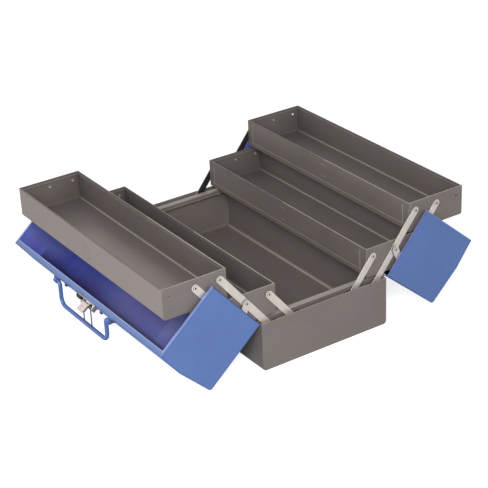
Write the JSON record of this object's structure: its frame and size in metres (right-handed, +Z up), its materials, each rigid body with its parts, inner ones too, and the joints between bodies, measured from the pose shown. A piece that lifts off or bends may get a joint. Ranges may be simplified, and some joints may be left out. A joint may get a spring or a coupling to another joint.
{
  "type": "cantilever tool box",
  "caption": "Metal cantilever tool box shown open: a base box, stacked trays that swing out on parallel arms, and a two-part hinged lid with wire handles and a latch.",
  "frame": {"origin": "middle of the base's underside, on the surface that the box stands on", "axes": "+X along the box, +Y across it, +Z up"},
  "size_m": [0.39, 0.5159, 0.1607],
  "materials": {
    "base_paint": "satin grey-brown enamel",
    "tray_paint": "satin dark warm grey enamel",
    "lid_paint": "glossy blue enamel",
    "handle_paint": "glossy blue enamel",
    "arm_steel": "zinc plated, satin",
    "pin_steel": "zinc plated",
    "hinge_steel": "satin",
    "latch_steel": "nickel plated, slightly bronzed",
    "dark_wire": "blackened",
    "dark_rivet": "blackened",
    "black_knob": "gloss"
  },
  "bodies": {
    "base": {"base_tub": "base_paint", "end_panel_near": "base_paint", "end_panel_far": "base_paint", "slot_strip_near": "base_paint", "slot_strip_far": "base_paint", "base_pivot_pins": "pin_steel", "hinge_base_leaf_left": "hinge_steel", "hinge_base_leaf_right": "hinge_steel", "hinge_pin_left": "pin_steel", "hinge_pin_right": "pin_steel"},
    "long_arms_left": {"long_arm_left_near": "arm_steel", "long_arm_left_far": "arm_steel"},
    "short_arms_left": {"short_arm_left_near": "arm_steel", "short_arm_left_far": "arm_steel"},
    "outer_arms_left": {"outer_arm_left_near": "arm_steel", "outer_arm_left_far": "arm_steel"},
    "drive_links_left": {"drive_link_left_near": "arm_steel", "drive_link_left_far": "arm_steel"},
    "lower_tray_left": {"lower_tray_left": "tray_paint", "lower_tray_pins_left": "pin_steel"},
    "upper_tray_left": {"upper_tray_left": "tray_paint", "upper_tray_pins_left": "pin_steel"},
    "lid_left": {"lid_shell_left": "lid_paint", "lid_end_left_near": "lid_paint", "lid_end_left_far": "lid_paint", "lid_studs_left": "pin_steel", "hinge_lid_leaf_left": "hinge_steel", "handle_brackets_left": "lid_paint", "bracket_rivets_left": "dark_rivet", "latch_plate": "latch_steel", "latch_rivets": "latch_steel", "latch_pin": "latch_steel", "lock_knob": "black_knob"},
    "handle_left": {"handle_left": "handle_paint"},
    "long_arms_right": {"long_arm_right_near": "arm_steel", "long_arm_right_far": "arm_steel"},
    "short_arms_right": {"short_arm_right_near": "arm_steel", "short_arm_right_far": "arm_steel"},
    "outer_arms_right": {"outer_arm_right_near": "arm_steel", "outer_arm_right_far": "arm_steel"},
    "drive_links_right": {"drive_link_right_near": "arm_steel", "drive_link_right_far": "arm_steel"},
    "lower_tray_right": {"lower_tray_right": "tray_paint", "lower_tray_pins_right": "pin_steel"},
    "upper_tray_right": {"upper_tray_right": "tray_paint", "upper_tray_pins_right": "pin_steel"},
    "lid_right": {"lid_shell_right": "lid_paint", "lid_end_right_near": "lid_paint", "lid_end_right_far": "lid_paint", "lid_studs_right": "pin_steel", "hinge_lid_leaf_right": "hinge_steel", "handle_brackets_right": "lid_paint", "bracket_rivets_right": "dark_rivet", "latch_keeper": "latch_steel"},
    "handle_right": {"handle_right": "handle_paint"},
    "latch_lever": {"latch_lever": "latch_steel"},
    "latch_loop": {"latch_loop": "dark_wire"}
  },
  "joints": [
    {"name": "arms_swing_left", "type": "hinge", "parent": "base", "child": "long_arms_left", "pos_m": [0, -0.08283, 0.05908], "axis": [-1, 0, 0], "range_deg": [0, 77]},
    {"name": "short_arms_swing_left", "type": "hinge", "parent": "base", "child": "short_arms_left", "pos_m": [0, -0.0471, 0.05908], "axis": [-1, 0, 0], "range_deg": [0, 77]},
    {"name": "lower_tray_turn_left", "type": "hinge", "parent": "long_arms_left", "child": "lower_tray_left", "pos_m": [0, -0.11857, 0.104], "axis": [-1, 0, 0], "range_deg": [-77, 0]},
    {"name": "upper_tray_turn_left", "type": "hinge", "parent": "long_arms_left", "child": "upper_tray_left", "pos_m": [0, -0.1543, 0.14892], "axis": [-1, 0, 0], "range_deg": [-77, 0]},
    {"name": "outer_arms_swing_left", "type": "hinge", "parent": "lower_tray_left", "child": "outer_arms_left", "pos_m": [0, -0.1543, 0.104], "axis": [-1, 0, 0], "range_deg": [0, 77]},
    {"name": "lid_hinge_left", "type": "hinge", "parent": "base", "child": "lid_left", "pos_m": [0, -0.1025, 0.0704], "axis": [-1, 0, 0], "range_deg": [0, 130.9]},
    {"name": "drive_link_turn_left", "type": "hinge", "parent": "lower_tray_left", "child": "drive_links_left", "pos_m": [0, -0.11857, 0.104], "axis": [-1, 0, 0], "range_deg": [0, 52.36]},
    {"name": "handle_swing_left", "type": "hinge", "parent": "lid_left", "child": "handle_left", "pos_m": [0, -0.24925, 0.0712], "axis": [-1, 0, 0], "range_deg": [-38, 49]},
    {"name": "latch_lever_swing", "type": "hinge", "parent": "lid_left", "child": "latch_lever", "pos_m": [0, -0.25073, 0.07184], "axis": [-1, 0, 0], "range_deg": [-88, 88]},
    {"name": "latch_loop_swing", "type": "hinge", "parent": "lid_left", "child": "latch_loop", "pos_m": [0, -0.25073, 0.07184], "axis": [-1, 0, 0], "range_deg": [-36, 136]},
    {"name": "arms_swing_right", "type": "hinge", "parent": "base", "child": "long_arms_right", "pos_m": [0, 0.08283, 0.05908], "axis": [1, 0, 0], "range_deg": [0, 77]},
    {"name": "short_arms_swing_right", "type": "hinge", "parent": "base", "child": "short_arms_right", "pos_m": [0, 0.0471, 0.05908], "axis": [1, 0, 0], "range_deg": [0, 77]},
    {"name": "lower_tray_turn_right", "type": "hinge", "parent": "long_arms_right", "child": "lower_tray_right", "pos_m": [0, 0.11857, 0.104], "axis": [1, 0, 0], "range_deg": [-77, 0]},
    {"name": "upper_tray_turn_right", "type": "hinge", "parent": "long_arms_right", "child": "upper_tray_right", "pos_m": [0, 0.1543, 0.14892], "axis": [1, 0, 0], "range_deg": [-77, 0]},
    {"name": "outer_arms_swing_right", "type": "hinge", "parent": "lower_tray_right", "child": "outer_arms_right", "pos_m": [0, 0.1543, 0.104], "axis": [1, 0, 0], "range_deg": [0, 77]},
    {"name": "lid_hinge_right", "type": "hinge", "parent": "base", "child": "lid_right", "pos_m": [0, 0.1025, 0.0704], "axis": [1, 0, 0], "range_deg": [0, 130.9]},
    {"name": "drive_link_turn_right", "type": "hinge", "parent": "lower_tray_right", "child": "drive_links_right", "pos_m": [0, 0.11857, 0.104], "axis": [1, 0, 0], "range_deg": [0, 52.36]},
    {"name": "handle_swing_right", "type": "hinge", "parent": "lid_right", "child": "handle_right", "pos_m": [0, 0.24925, 0.0712], "axis": [1, 0, 0], "range_deg": [-38, 49]}
  ],
  "couplings": [
    {"joint": "short_arms_swing_left", "follows": "arms_swing_left", "ratio": 1},
    {"joint": "lower_tray_turn_left", "follows": "arms_swing_left", "ratio": -1},
    {"joint": "upper_tray_turn_left", "follows": "arms_swing_left", "ratio": -1},
    {"joint": "outer_arms_swing_left", "follows": "arms_swing_left", "ratio": 1},
    {"joint": "lid_hinge_left", "follows": "arms_swing_left", "ratio": 1.7},
    {"joint": "drive_link_turn_left", "follows": "arms_swing_left", "ratio": 0.68},
    {"joint": "short_arms_swing_right", "follows": "arms_swing_right", "ratio": 1},
    {"joint": "lower_tray_turn_right", "follows": "arms_swing_right", "ratio": -1},
    {"joint": "upper_tray_turn_right", "follows": "arms_swing_right", "ratio": -1},
    {"joint": "outer_arms_swing_right", "follows": "arms_swing_right", "ratio": 1},
    {"joint": "lid_hinge_right", "follows": "arms_swing_right", "ratio": 1.7},
    {"joint": "drive_link_turn_right", "follows": "arms_swing_right", "ratio": 0.68}
  ]
}
